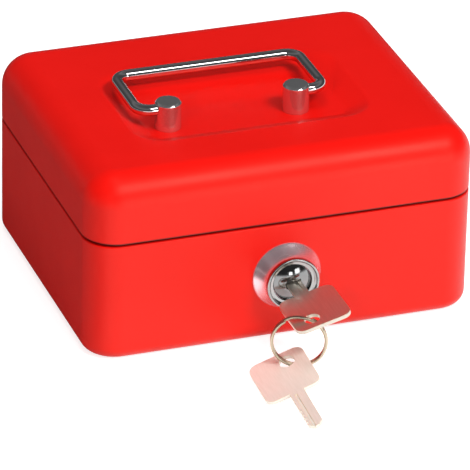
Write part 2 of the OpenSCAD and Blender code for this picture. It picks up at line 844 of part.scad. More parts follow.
module tray_rail_right() {
  color(steel)
  translate([0, 6, 0]) rail();
}

// A flat key lying in the XY plane, blade towards +Y, its blade's middle on the Y axis
module flat_key() {
  hx = key_head_w / 2 - key_corner_r;
  hy = key_head_l / 2 - key_corner_r;
  difference() {
    union() {
      translate([key_head_shift, key_end_y + key_head_l / 2, -key_t / 2]) {
        translate([-key_head_w / 2, -hy, 0]) cube([key_head_w, 2 * hy, key_t]);
        translate([-hx, -key_head_l / 2, 0]) cube([2 * hx, key_head_l, key_t]);
        for (sx = [-1, 1])
          for (sy = [-1, 1])
            translate([sx * hx, sy * hy, 0]) cylinder(r = key_corner_r, h = key_t);
      }
      translate([0, key_shoulder_y - 1, -key_t / 2])
        linear_extrude(key_t) polygon([
          [-blade_w / 2, 0],
          [blade_w / 2, 0],
          [blade_w / 2, blade_l - 1],
          [0.9, blade_l + 1],
          [-0.9, blade_l + 1],
          [-blade_w / 2, blade_l - 1]
        ]);
    }
    translate([key_hole_x, key_hole_y, -2]) cylinder(r = key_hole_r, h = 4);
    for (i = [0 : 3])
      translate([blade_w / 2 + 0.15, blade_tip_y - 3.2 - i * 2.4, -2])
        cylinder(r = 0.75 + 0.12 * (i % 2), h = 4);
    for (s = [-1, 1])
      translate([-0.5 + s * 0.9, key_shoulder_y + 1.5, s * key_t / 2 - 0.3])
        cube([1, blade_l, 0.6]);
  }
}

module lock_key() {
  color(nickel)
  translate([0, 0, lock_z]) rotate([0, -key_angle, 0]) flat_key();
}

module split_ring() {
  color(nickel)
  translate([ring_mid_x, ring_mid_y, ring_mid_z])
    rotate([0, 0, ring_yaw]) rotate([90, 0, 0])
      for (s = [-1, 1])
        translate([0, 0, s * ring_turn])
          rotate_extrude() translate([ring_r, 0]) circle(ring_wire_r, $fn = 24);
}

module spare_key() {
  color(nickel)
  translate([spare_x, spare_y, spare_z])
    rotate([spare_slope, 0, 0]) rotate([0, -spare_roll, 0]) rotate([0, 0, 180])
      translate([-key_hole_x, -key_hole_y, 0]) flat_key();
}

body_shell();
lid_shell();
bail_handle();
handle_post_left();
handle_post_right();
handle_screws();
handle_washers();
hinge_left_body_leaf();
hinge_left_lid_leaf();
hinge_left_pin();
hinge_right_body_leaf();
hinge_right_lid_leaf();
hinge_right_pin();
hinge_body_rivets();
hinge_lid_rivets();
lock_housing();
lock_face_ring();
lock_plug();
lock_wafers();
lock_washer();
lock_nut();
lock_cam();
cam_screw();
lid_catch();
coin_tray();
tray_rail_left();
tray_rail_right();
lock_key();
split_ring();
spare_key();
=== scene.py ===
# Small red steel cash box: wire handle in a sunken top, cam lock, key and spare key on a ring, coin tray
import bpy
import bmesh
import math
from mathutils import Matrix, Vector


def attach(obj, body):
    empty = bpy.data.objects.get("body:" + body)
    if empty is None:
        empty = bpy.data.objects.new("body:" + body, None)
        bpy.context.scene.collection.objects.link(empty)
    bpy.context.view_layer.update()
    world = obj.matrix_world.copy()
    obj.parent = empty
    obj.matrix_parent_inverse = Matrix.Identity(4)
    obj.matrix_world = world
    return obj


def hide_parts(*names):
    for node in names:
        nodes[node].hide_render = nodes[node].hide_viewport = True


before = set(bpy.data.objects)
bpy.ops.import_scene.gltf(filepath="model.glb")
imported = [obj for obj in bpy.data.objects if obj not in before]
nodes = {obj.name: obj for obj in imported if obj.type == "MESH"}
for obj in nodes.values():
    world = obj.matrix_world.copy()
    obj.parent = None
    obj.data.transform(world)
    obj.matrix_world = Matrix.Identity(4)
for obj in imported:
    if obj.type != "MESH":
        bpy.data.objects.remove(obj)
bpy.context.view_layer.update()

MM = 0.001
NEAR_AXIS = 1e-4  # radius, in mm, that stands for the axis of a turned piece

# ---------------------------------------------------------------- sizes in mm

# They are the sizes of the part's source, apart from a few that only these pieces have: PANEL_EASE, the posts'
# bore, the arms of the cross recess, and the split ring's offset, ends and step.

# Body and lid: outside, corners, sheet, base edge; wall top and the inset rim above it; lid edge, top radius
BOX_W, BOX_D, BOX_H = 152.0, 124.0, 74.0
CORNER_R, SHEET, BASE_R = 13.0, 0.8, 4.6
WALL_TOP, RIM_INSET, JOGGLE, RIM_TOP = 47.2, 1.2, 0.5, 52.4
LID_EDGE, LID_TOP_R = 48.4, 12.0

# Sunken panel: border, place, depth, width of the sloping border, line where the rear half starts to rise
RECESS_W, RECESS_D, RECESS_R = 94.0, 59.4, 13.0
RECESS_X, RECESS_Y, RECESS_DEPTH, RECESS_SLOPE, RISE_Y = -1.5, -4.6, 3.5, 8.5, -3.5
PANEL_Z = BOX_H - RECESS_DEPTH
PANEL_EASE = 0.10  # share of the slope over which its bends at the border and at the floor are eased

# Handle: place, half pitch of the posts; posts; pivot; wire; bore for its end, outwards from a post's middle
HANDLE_X, HANDLE_Y, POST_DX = -6.6, -16.6, 25.3
POST_H, POST_BASE_R, POST_TOP_R, POST_BEVEL, POST_FOOT = 10.9, 5.1, 5.0, 0.7, 0.5
PIVOT_RISE = 7.8
PIVOT_Z = PANEL_Z + PIVOT_RISE
WIRE_R, WIRE_END_IN, BAIL_HALF, BAIL_REACH, BEND_R = 2.2, 3.8, 36.7, 31.0, 5.5
BORE_R, BORE_START, BORE_LEN = WIRE_R + 0.06, 1.0, 8.0

# Hinges, rivets: half spans, pin height, leaf; shank, head and tail; rows above and below the pin
HINGE_X, HINGE_Z, LEAF_T, RIVET_DX = 42.0, 47.8, 0.9, 8.0
RIVET_R, RIVET_HEAD_R, RIVET_HEAD_H, RIVET_TAIL_R, RIVET_TAIL_H = 1.3, 2.3, 0.8, 2.1, 0.6
RIVETS_UP, RIVETS_DOWN = 8.16, 6.96

# Screws and washers of the posts: shank, head, length in the post, arms of the cross recess
SCREW_R, SCREW_HEAD_R, SCREW_HEAD_H, SCREW_IN = 1.5, 2.9, 1.8, 3.4
CROSS_LEN, CROSS_W = 3.8, 0.7
WASHER_HOLE_R, WASHER_R, WASHER_T = 1.65, 4.2, 0.6

# Lock, radii and places along Y: flange, neck, barrel, bores for the plug and its head, ring round the face
LOCK_Z, FRONT_Y = 26.3, -62.0
FLANGE_R, FLANGE_T, NECK_R, CONE_HOLLOW = 13.4, 0.9, 9.9, 1.3
BARREL_R, BARREL_END, PLUG_BORE_R = 8.5, -45.5, 5.55
HEAD_BORE_R, HEAD_BORE_END = 7.6, -64.7
FACE_R, FACE_BACK, FACE_FRONT = 10.3, -68.0, -70.2

# Split ring: radius of its middle line, wire radius, offset of each turn, place, and its turning in degrees
RING_R, RING_WIRE, RING_OFFSET = 10.0, 0.62, 0.58
RING_MID = (-6.942, -95.548, 16.798)
RING_YAW, RING_FIRST_END, RING_SWEEP = -19.3, 62.0, -660.0
RING_STEP_HALF = 0.045  # half of the share of the wire that crosses from one turn to the other

# Steps round curves
CORNER_STEPS, CONE_STEPS, EASE_STEPS = 16, 20, 8
BEND_STEPS, RING_STEPS = 14, 260
WIRE_SIDES, RING_SIDES = 32, 16


# ---------------------------------------------------------------- mesh helpers

def soft_path(corners, steps=5):
    """A flat path through corners given as (x, y, rounding), each inner one rounded to its own radius."""
    most_cut, nearly_straight = 0.49, math.radians(89)
    out = [corners[0][:2]]
    for before, corner, after in zip(corners, corners[1:], corners[2:]):
        p, q, s = (Vector(c[:2]) for c in (before, corner, after))
        a, b = p - q, s - q
        half = a.angle(b, math.pi) / 2
        if corner[2] <= 0 or half > nearly_straight:
            out.append(tuple(q))
            continue
        cut = min(corner[2] / math.tan(half), a.length * most_cut, b.length * most_cut)
        r = cut * math.tan(half)
        start, end = q + a.normalized() * cut, q + b.normalized() * cut
        mid = q + (a.normalized() + b.normalized()).normalized() * (r / math.sin(half))
        va, vb = start - mid, end - mid
        turn = va.angle_signed(vb)
        for k in range(steps + 1):
            t = -turn * k / steps
            out.append((mid.x + va.x * math.cos(t) - va.y * math.sin(t),
                        mid.y + va.x * math.sin(t) + va.y * math.cos(t)))
    out.append(corners[-1][:2])
    return out


def rounded_ring(width, depth, radius, z, x=0.0, y=0.0):
    """Points round a rounded rectangle at height z."""
    a, b = width / 2 - radius, depth / 2 - radius
    ring = []
    for sx, sy, start in ((1, 1, 0), (-1, 1, 90), (-1, -1, 180), (1, -1, 270)):
        for i in range(CORNER_STEPS + 1):
            t = math.radians(start + 90.0 * i / CORNER_STEPS)
            ring.append((x + sx * a + radius * math.cos(t), y + sy * b + radius * math.sin(t), z))
    return ring


def object_of(name, bm):
    """An object in the scene with the mesh built in bm."""
    mesh = bpy.data.meshes.new(name)
    bm.to_mesh(mesh)
    bm.free()
    obj = bpy.data.objects.new(name, mesh)
    bpy.context.scene.collection.objects.link(obj)
    return obj


def skin_rings(name, rings, cap_ends=True, close=False):
    """A mesh skinned over rings of equal length, given in mm."""
    bm = bmesh.new()
    rows = [[bm.verts.new((p[0] * MM, p[1] * MM, p[2] * MM)) for p in ring] for ring in rings]
    pairs = list(zip(rows, rows[1:])) + ([(rows[-1], rows[0])] if close else [])
    for low, high in pairs:
        for i in range(len(low)):
            j = (i + 1) % len(low)
            bm.faces.new((low[i], low[j], high[j], high[i]))
    if cap_ends:
        bm.faces.new(rows[0])
        bm.faces.new(rows[-1])
    bmesh.ops.remove_doubles(bm, verts=bm.verts, dist=1e-7)
    bmesh.ops.recalc_face_normals(bm, faces=bm.faces)
    return object_of(name, bm)


def turned(name, profile, centre=(0.0, 0.0, 0.0), axis="Z", n=72):
    """A turned piece in mm: profile holds (radius, height), from axis to axis or back to its own start."""
    profile = [(max(r, NEAR_AXIS), h) for r, h in profile]
    closed = (Vector(profile[0]) - Vector(profile[-1])).length < 1e-6
    rings = []
    for r, h in profile[:-1] if closed else profile:
        ring = []
        for i in range(n):
            t = 2 * math.pi * i / n
            c, s = r * math.cos(t), r * math.sin(t)
            spot = (c, s, h) if axis == "Z" else (c, h, s)
            ring.append(tuple(m + p for m, p in zip(centre, spot)))
        rings.append(ring)
    return skin_rings(name, rings, cap_ends=False, close=closed)


def bake_modifiers(obj):
    """Turns the evaluated object into a plain mesh and drops its modifiers."""
    bpy.context.view_layer.update()
    shown = obj.evaluated_get(bpy.context.evaluated_depsgraph_get())
    mesh = bpy.data.meshes.new_from_object(shown, preserve_all_data_layers=True,
                                           depsgraph=bpy.context.evaluated_depsgraph_get())
    obj.modifiers.clear()
    old = obj.data
    obj.data = mesh
    bpy.data.meshes.remove(old)
    mesh.name = obj.name
    return obj


def smooth_shade(obj, angle):
    """Smooth shading up to an angle in degrees, with flat faces kept flat by area-weighted normals."""
    obj.data.shade_smooth()
    obj.data.set_sharp_from_angle(angle=math.radians(angle))
    mod = obj.modifiers.new("weigh", "WEIGHTED_NORMAL")
    mod.keep_sharp = True
    mod.weight = 60
    return bake_modifiers(obj)


def soften(obj, width):
    """Rounds the sharp edges of a piece and marks the new faces in its edge attribute."""
    round_from, smooth_to = math.radians(32.0), math.radians(40.0)
    obj.data.materials.clear()
    obj.data.materials.append(None)
    obj.data.materials.append(None)
    mod = obj.modifiers.new("round", "BEVEL")
    mod.width = width * MM
    mod.segments = 2
    mod.limit_method = "ANGLE"
    mod.angle_limit = round_from
    mod.use_clamp_overlap = True
    mod.harden_normals = True
    mod.material = 1
    obj.data.shade_smooth()
    obj.data.set_sharp_from_angle(angle=smooth_to)
    bake_modifiers(obj)
    mesh = obj.data
    marks = [0.0] * len(mesh.polygons)
    for face in mesh.polygons:
        marks[face.index] = float(face.material_index == 1)
        face.material_index = 0
    layer = mesh.attributes.new("edge", "FLOAT", "FACE")
    layer.data.foreach_set("value", marks)
    return obj


def merged_copy(node, name):
    """A piece with a CAD node's form, its triangles merged into plain faces."""
    bm = bmesh.new()
    bm.from_mesh(nodes[node].data)
    bmesh.ops.remove_doubles(bm, verts=bm.verts, dist=3e-6)
    bmesh.ops.dissolve_limit(bm, angle_limit=math.radians(0.6), verts=bm.verts, edges=bm.edges)
    return object_of(name, bm)


def cut_with(obj, cutter):
    """Cuts one piece out of another and removes the cutter."""
    mod = obj.modifiers.new("cut", "BOOLEAN")
    mod.operation = "DIFFERENCE"
    mod.solver = "EXACT"
    mod.object = cutter
    bake_modifiers(obj)
    bpy.data.objects.remove(cutter)


def fit(piece, body, slot, material, *replaced):
    """Gives a finished piece its material and its body, and hides the CAD nodes it stands for."""
    piece.data.materials.clear()
    piece.data.materials.append(material)
    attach(piece, body)
    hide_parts(*replaced)


# ---------------------------------------------------------------- node helpers

FLOAT, VECTOR = "NodeSocketFloat", "NodeSocketVector"
MATERIAL, GEOMETRY = "NodeSocketMaterial", "NodeSocketGeometry"
MIX_SOCKETS = {"FLOAT": (0, 2, 3, 0), "RGBA": (0, 6, 7, 2)}  # factor, first and second input, result


def new_group(name, kind, inputs, outputs):
    """A node group with named inputs and outputs; returns it with its input node and its output node."""
    tree = bpy.data.node_groups.new(name, kind)
    for label, socket_kind, value in inputs:
        socket = tree.interface.new_socket(label, in_out="INPUT", socket_type=socket_kind)
        if value is not None:
            socket.default_value = value
    for label, socket_kind in outputs:
        tree.interface.new_socket(label, in_out="OUTPUT", socket_type=socket_kind)
    return tree, tree.nodes.new("NodeGroupInput"), tree.nodes.new("NodeGroupOutput")


def add(tree, kind, **values):
    """A node with its properties and inputs set; an input goes by its socket's name."""
    item = tree.nodes.new(kind)
    for key, value in values.items():
        if hasattr(item, key):
            setattr(item, key, value)
        else:
            item.inputs[key.replace("_", " ")].default_value = value
    return item


def link(tree, source, target):
    """Links an output to an input."""
    tree.links.new(source, target)


def feed(tree, value, socket):
    """Sets an input to a number or a colour, or links it to an output."""
    if isinstance(value, bpy.types.NodeSocket):
        link(tree, value, socket)
    else:
        socket.default_value = (*value, 1.0) if isinstance(value, tuple) else value


def noise(tree, vector, scale, detail):
    """Cloudy noise; its scale is a number or an output."""
    item = add(tree, "ShaderNodeTexNoise", Detail=detail)
    feed(tree, scale, item.inputs["Scale"])
    link(tree, vector, item.inputs["Vector"])
    return item.outputs["Fac"]


def spread(tree, value, low, high, to_low, to_high):
    """Maps the range from low to high to another range, and stops at its ends."""
    item = add(tree, "ShaderNodeMapRange", From_Min=low, From_Max=high, To_Min=to_low, To_Max=to_high)
    link(tree, value, item.inputs["Value"])
    return item.outputs["Result"]


def math_node(tree, operation, a, b=0.0):
    """One sum on two numbers or outputs."""
    item = add(tree, "ShaderNodeMath", operation=operation)
    feed(tree, a, item.inputs[0])
    feed(tree, b, item.inputs[1])
    return item.outputs[0]


def mix(tree, factor, a, b, kind="RGBA"):
    """Mixes two colours, or two numbers with kind FLOAT."""
    item = add(tree, "ShaderNodeMix", data_type=kind)
    factor_at, a_at, b_at, result_at = MIX_SOCKETS[kind]
    for value, index in ((factor, factor_at), (a, a_at), (b, b_at)):
        feed(tree, value, item.inputs[index])
    return item.outputs[result_at]


def stretched(tree, vector, stretch, turn=(0.0, 0.0, 0.0)):
    """Coordinates turned and stretched, so that a pattern becomes lines along one direction."""
    place = add(tree, "ShaderNodeMapping", Scale=stretch, Rotation=turn)
    link(tree, vector, place.inputs["Vector"])
    return place.outputs["Vector"]


# ---------------------------------------------------------------- effects that several finishes share

def powder_grain_group():
    """Fine orange-peel grain of a baked powder coat: height and fleck masks."""
    tree, source, sink = new_group(
        "powder_grain", "ShaderNodeTree",
        [("Vector", VECTOR, None), ("Fine Scale", FLOAT, 2600.0), ("Peel Scale", FLOAT, 620.0),
         ("Peel Share", FLOAT, 0.5)],
        [("Height", FLOAT), ("Fleck", FLOAT)])
    fine = noise(tree, source.outputs["Vector"], source.outputs["Fine Scale"], 3.0)
    peel = noise(tree, source.outputs["Vector"], source.outputs["Peel Scale"], 1.0)
    link(tree, mix(tree, source.outputs["Peel Share"], fine, peel, "FLOAT"), sink.inputs["Height"])
    link(tree, spread(tree, fine, 0.60, 0.74, 0.0, 1.0), sink.inputs["Fleck"])
    return tree


def handling_group():
    """Marks of handling: soft smudges and two sets of thin hairline scratches that cross."""
    tree, source, sink = new_group(
        "handling_marks", "ShaderNodeTree",
        [("Vector", VECTOR, None), ("Smudge Scale", FLOAT, 45.0), ("Scratch Scale", FLOAT, 260.0)],
        [("Smudge", FLOAT), ("Scratch", FLOAT)])
    smudge = noise(tree, source.outputs["Vector"], source.outputs["Smudge Scale"], 4.0)
    link(tree, spread(tree, smudge, 0.35, 0.7, 0.0, 1.0), sink.inputs["Smudge"])
    masks = []
    for turn, stretch in ((0.35, (1.0, 0.045, 0.6)), (1.9, (0.05, 1.0, 0.7))):
        place = stretched(tree, source.outputs["Vector"], stretch, (turn * 0.6, turn * 0.3, turn))
        lines = noise(tree, place, source.outputs["Scratch Scale"], 2.0)
        masks.append(spread(tree, lines, 0.66, 0.72, 0.0, 1.0))
    link(tree, math_node(tree, "MAXIMUM", *masks), sink.inputs["Scratch"])
    return tree


def brushed_group():
    """Lines left by a brush, a lathe or a rolling mill along one direction."""
    tree, source, sink = new_group(
        "brushed_lines", "ShaderNodeTree",
        [("Vector", VECTOR, None), ("Line Scale", FLOAT, 1500.0)],
        [("Height", FLOAT), ("Tone", FLOAT)])
    lines = noise(tree, source.outputs["Vector"], source.outputs["Line Scale"], 3.0)
    link(tree, lines, sink.inputs["Height"])
    link(tree, spread(tree, lines, 0.3, 0.7, 0.0, 1.0), sink.inputs["Tone"])
    return tree


GRAIN, HANDLING, BRUSHED = powder_grain_group(), handling_group(), brushed_group()


# ---------------------------------------------------------------- finishes

def new_material(name, metal=0.0):
    """A material with its shader; returns it with its tree, the shader and the Object coordinates."""
    mat = bpy.data.materials.new(name)
    mat.use_nodes = True
    tree = mat.node_tree
    tree.nodes.clear()
    out = tree.nodes.new("ShaderNodeOutputMaterial")
    shader = add(tree, "ShaderNodeBsdfPrincipled", Metallic=metal)
    link(tree, shader.outputs["BSDF"], out.inputs["Surface"])
    return mat, tree, shader, tree.nodes.new("ShaderNodeTexCoord").outputs["Object"]


def use_group(tree, group, vector, **values):
    """Places a shared effect with this material's own values."""
    item = tree.nodes.new("ShaderNodeGroup")
    item.node_tree = group
    link(tree, vector, item.inputs["Vector"])
    for key, value in values.items():
        item.inputs[key.replace("_", " ")].default_value = value
    return item


def bump(tree, shader, height, strength, distance):
    """Fine relief; the distance is in metres."""
    item = add(tree, "ShaderNodeBump", Strength=strength, Distance=distance)
    link(tree, height, item.inputs["Height"])
    link(tree, item.outputs["Normal"], shader.inputs["Normal"])


def share_of(tree, mask, share):
    """A mask at part of its strength."""
    return math_node(tree, "MULTIPLY", mask, share)


def roughness(tree, shader, marks, clean, smudged, scratched=0.0):
    """Roughness from clean to smudged metal, and a little more along the scratches."""
    rough = spread(tree, marks.outputs["Smudge"], 0.0, 1.0, clean, smudged)
    if scratched:
        rough = math_node(tree, "ADD", rough, share_of(tree, marks.outputs["Scratch"], scratched))
    link(tree, rough, shader.inputs["Roughness"])


def edge_mark(tree):
    """Mask of the rounded edges that soften() marks."""
    return add(tree, "ShaderNodeAttribute", attribute_name="edge").outputs["Fac"]


def painted_seam_shade(tree, where):
    """Mask of painted shade in the seam, on the rim just under the lid's edge, where the gap lies in shadow.
    """
    parts = tree.nodes.new("ShaderNodeSeparateXYZ")
    link(tree, where, parts.inputs[0])
    above = spread(tree, parts.outputs["Z"], (WALL_TOP + 0.1) * MM, (WALL_TOP + JOGGLE) * MM, 0.0, 1.0)
    below = spread(tree, parts.outputs["Z"], (LID_EDGE + 0.1) * MM, (LID_EDGE + 0.7) * MM, 1.0, 0.0)
    return math_node(tree, "MULTIPLY", above, below)


def red_powder_coat():
    """Satin red powder coat with a faint fleck, slightly uneven, with painted shade in the seam."""
    fresh, handled = (0.820, 0.0034, 0.0013), (0.770, 0.0030, 0.0011)
    fleck, seam_shade_tone = (0.95, 0.04, 0.03), (0.07, 0.001, 0.001)
    mat, tree, shader, where = new_material("red_powder_coat")
    grain = use_group(tree, GRAIN, where)
    marks = use_group(tree, HANDLING, where, Smudge_Scale=26.0, Scratch_Scale=190.0)
    tone = mix(tree, marks.outputs["Smudge"], fresh, handled)
    tone = mix(tree, share_of(tree, grain.outputs["Fleck"], 0.10), tone, fleck)
    # the near-black tone in the seam is painted shade for the gap between lid and body
    link(tree, mix(tree, painted_seam_shade(tree, where), tone, seam_shade_tone), shader.inputs["Base Color"])
    rough = spread(tree, marks.outputs["Smudge"], 0.0, 1.0, 0.36, 0.42)
    link(tree, math_node(tree, "ADD", rough, share_of(tree, grain.outputs["Height"], 0.06)),
         shader.inputs["Roughness"])
    shader.inputs["Specular IOR Level"].default_value = 0.46
    shader.inputs["Specular Tint"].default_value = (1.0, 0.92, 0.72, 1.0)
    bump(tree, shader, grain.outputs["Height"], 0.35, 0.00006)
    return mat


def polished_chrome(name, metal):
    """Bright chrome with faint smudges and hairlines."""
    mat, tree, shader, where = new_material(name, metal)
    marks = use_group(tree, HANDLING, where, Smudge_Scale=90.0, Scratch_Scale=520.0)
    link(tree, mix(tree, marks.outputs["Smudge"], (0.80, 0.80, 0.81), (0.72, 0.715, 0.715)),
         shader.inputs["Base Color"])
    roughness(tree, shader, marks, 0.05, 0.09, 0.05)
    bump(tree, shader, marks.outputs["Scratch"], 0.04, 0.00002)
    return mat


def turned_chrome(name, light, dark, metal, clean_rough, smudged_rough):
    """Satin chrome with the fine rings that a lathe leaves round the lock's axis."""
    mat, tree, shader, where = new_material(name, metal)
    lines = use_group(tree, BRUSHED, stretched(tree, where, (0.02, 1.0, 0.02)), Line_Scale=2600.0)
    marks = use_group(tree, HANDLING, where, Smudge_Scale=150.0, Scratch_Scale=700.0)
    link(tree, mix(tree, lines.outputs["Tone"], light, dark), shader.inputs["Base Color"])
    roughness(tree, shader, marks, clean_rough, smudged_rough)
    bump(tree, shader, lines.outputs["Height"], 0.10, 0.00002)
    return mat


def satin_nickel(name, line_stretch, light, dark, metal=1.0, clean_rough=0.30):
    """Satin nickel with brushed lines and edges worn to the warm metal below."""
    worn_edge = (0.88, 0.73, 0.50)
    mat, tree, shader, where = new_material(name, metal)
    lines = use_group(tree, BRUSHED, stretched(tree, where, line_stretch), Line_Scale=1700.0)
    marks = use_group(tree, HANDLING, where, Smudge_Scale=120.0, Scratch_Scale=600.0)
    tone = mix(tree, lines.outputs["Tone"], light, dark)
    link(tree, mix(tree, share_of(tree, edge_mark(tree), 0.75), tone, worn_edge),
         shader.inputs["Base Color"])
    roughness(tree, shader, marks, clean_rough, clean_rough + 0.08, 0.05)
    bump(tree, shader, lines.outputs["Height"], 0.12, 0.00002)
    return mat


def zinc_plate():
    """Zinc plate with small spangles and brighter edges."""
    light, dark, worn_edge = (0.60, 0.61, 0.63), (0.50, 0.51, 0.535), (0.74, 0.745, 0.76)
    mat, tree, shader, where = new_material("zinc_plate", 1.0)
    marks = use_group(tree, HANDLING, where, Smudge_Scale=140.0, Scratch_Scale=700.0)
    spangle = add(tree, "ShaderNodeTexVoronoi", Scale=420.0)
    link(tree, where, spangle.inputs["Vector"])
    tone = mix(tree, spread(tree, spangle.outputs["Distance"], 0.1, 0.7, 0.0, 1.0), light, dark)
    link(tree, mix(tree, share_of(tree, edge_mark(tree), 0.6), tone, worn_edge), shader.inputs["Base Color"])
    roughness(tree, shader, marks, 0.27, 0.42)
    bump(tree, shader, math_node(tree, "ADD", noise(tree, where, 900.0, 3.0), marks.outputs["Scratch"]),
         0.2, 0.00004)
    return mat


def dark_plug_steel():
    """Smoked chrome of the lock's turning plug, a little uneven."""
    mat, tree, shader, where = new_material("dark_plug_steel", 1.0)
    marks = use_group(tree, HANDLING, where, Smudge_Scale=160.0, Scratch_Scale=900.0)
    link(tree, mix(tree, marks.outputs["Smudge"], (0.27, 0.275, 0.275), (0.22, 0.22, 0.22)),
         shader.inputs["Base Color"])
    roughness(tree, shader, marks, 0.07, 0.12, 0.05)
    bump(tree, shader, noise(tree, where, 1400.0, 2.0), 0.05, 0.00002)
    return mat


def wafer_brass():
    """Plain stamped brass."""
    mat, tree, shader, where = new_material("wafer_brass", 1.0)
    marks = use_group(tree, HANDLING, where, Smudge_Scale=300.0, Scratch_Scale=900.0)
    link(tree, mix(tree, marks.outputs["Smudge"], (0.78, 0.56, 0.24), (0.66, 0.45, 0.19)),
         shader.inputs["Base Color"])
    roughness(tree, shader, marks, 0.25, 0.4)
    bump(tree, shader, marks.outputs["Scratch"], 0.2, 0.00002)
    return mat


def tray_plastic():
    """Black moulded plastic with a fine grain and pale scratches from coins."""
    mat, tree, shader, where = new_material("black_tray_plastic")
    grain = use_group(tree, GRAIN, where, Fine_Scale=1500.0, Peel_Scale=700.0, Peel_Share=0.35)
    marks = use_group(tree, HANDLING, where, Smudge_Scale=30.0, Scratch_Scale=170.0)
    tone = mix(tree, marks.outputs["Smudge"], (0.026, 0.026, 0.028), (0.034, 0.034, 0.036))
    tone = mix(tree, share_of(tree, marks.outputs["Scratch"], 0.25), tone, (0.12, 0.12, 0.12))
    link(tree, tone, shader.inputs["Base Color"])
    link(tree, spread(tree, grain.outputs["Height"], 0.3, 0.7, 0.46, 0.58), shader.inputs["Roughness"])
    bump(tree, shader, grain.outputs["Height"], 0.5, 0.00008)
    return mat


RED, ZINC, BRASS, TRAY = red_powder_coat(), zinc_plate(), wafer_brass(), tray_plastic()
WIRE_CHROME, POST_CHROME = polished_chrome("wire_chrome", 1.0), polished_chrome("post_chrome", 0.95)
# the pink tint of the lock's chrome is a painted reflection of the red box around it
LOCK_CHROME = turned_chrome("turned_chrome", (0.95, 0.76, 0.80), (0.89, 0.68, 0.73), 0.88, 0.22, 0.28)
RIM_CHROME = turned_chrome("rim_chrome", (0.42, 0.42, 0.415), (0.37, 0.37, 0.365), 1.0, 0.12, 0.18)
PLUG_STEEL = dark_plug_steel()
ALONG_KEY, ROUND_RING = (1.0, 0.06, 1.0), (1.0, 1.0, 0.3)  # stretch of the brushed lines
KEY_NICKEL = satin_nickel("key_nickel", ALONG_KEY, (0.66, 0.60, 0.52), (0.60, 0.54, 0.46), 0.90)
DULL_NICKEL = satin_nickel("dull_nickel", ALONG_KEY, (0.94, 0.86, 0.77), (0.88, 0.80, 0.70), 0.34, 0.42)
RING_NICKEL = satin_nickel("ring_nickel", ROUND_RING, (0.60, 0.52, 0.40), (0.52, 0.44, 0.32))


# ---------------------------------------------------------------- geometry-node helpers

def shape_tree(name, inputs):
    """A geometry tree with named inputs; returns the tree, its input node and its output node."""
    return new_group(name, "GeometryNodeTree", [("Geometry", GEOMETRY, None), *inputs],
                     [("Geometry", GEOMETRY)])


def grow(name, tree, **values):
    """Makes one plain mesh from a geometry tree, with its inputs set before it is evaluated."""
    obj = bpy.data.objects.new(name, bpy.data.meshes.new(name))
    mod = obj.modifiers.new("grow", "NODES")
    mod.node_group = tree
    sockets = {item.name: item.identifier for item in tree.interface.items_tree
               if item.item_type == "SOCKET" and item.in_out == "INPUT"}
    for key, value in values.items():
        mod[sockets[key.replace("_", " ")]] = value
    bpy.context.scene.collection.objects.link(obj)
    return bake_modifiers(obj)


def finish_tree(tree, geometry, source, sink):
    """Ends a geometry tree: copies made real, the finish set."""
    real = tree.nodes.new("GeometryNodeRealizeInstances")
    paint = tree.nodes.new("GeometryNodeSetMaterial")
    link(tree, geometry, real.inputs["Geometry"])
    link(tree, real.outputs["Geometry"], paint.inputs["Geometry"])
    link(tree, source.outputs["Finish"], paint.inputs["Material"])
    link(tree, paint.outputs["Geometry"], sink.inputs["Geometry"])


def swept_wire(tree, curve, radius, sides):
    """Sweeps a round section along a curve, with smooth sides and closed ends."""
    section = add(tree, "GeometryNodeCurvePrimitiveCircle", Resolution=sides)
    link(tree, radius, section.inputs["Radius"])
    skin = add(tree, "GeometryNodeCurveToMesh", Fill_Caps=True)
    link(tree, curve, skin.inputs["Curve"])
    link(tree, section.outputs["Curve"], skin.inputs["Profile Curve"])
    shade = tree.nodes.new("GeometryNodeSetShadeSmooth")
    link(tree, skin.outputs["Mesh"], shade.inputs["Geometry"])
    return shade.outputs["Geometry"]


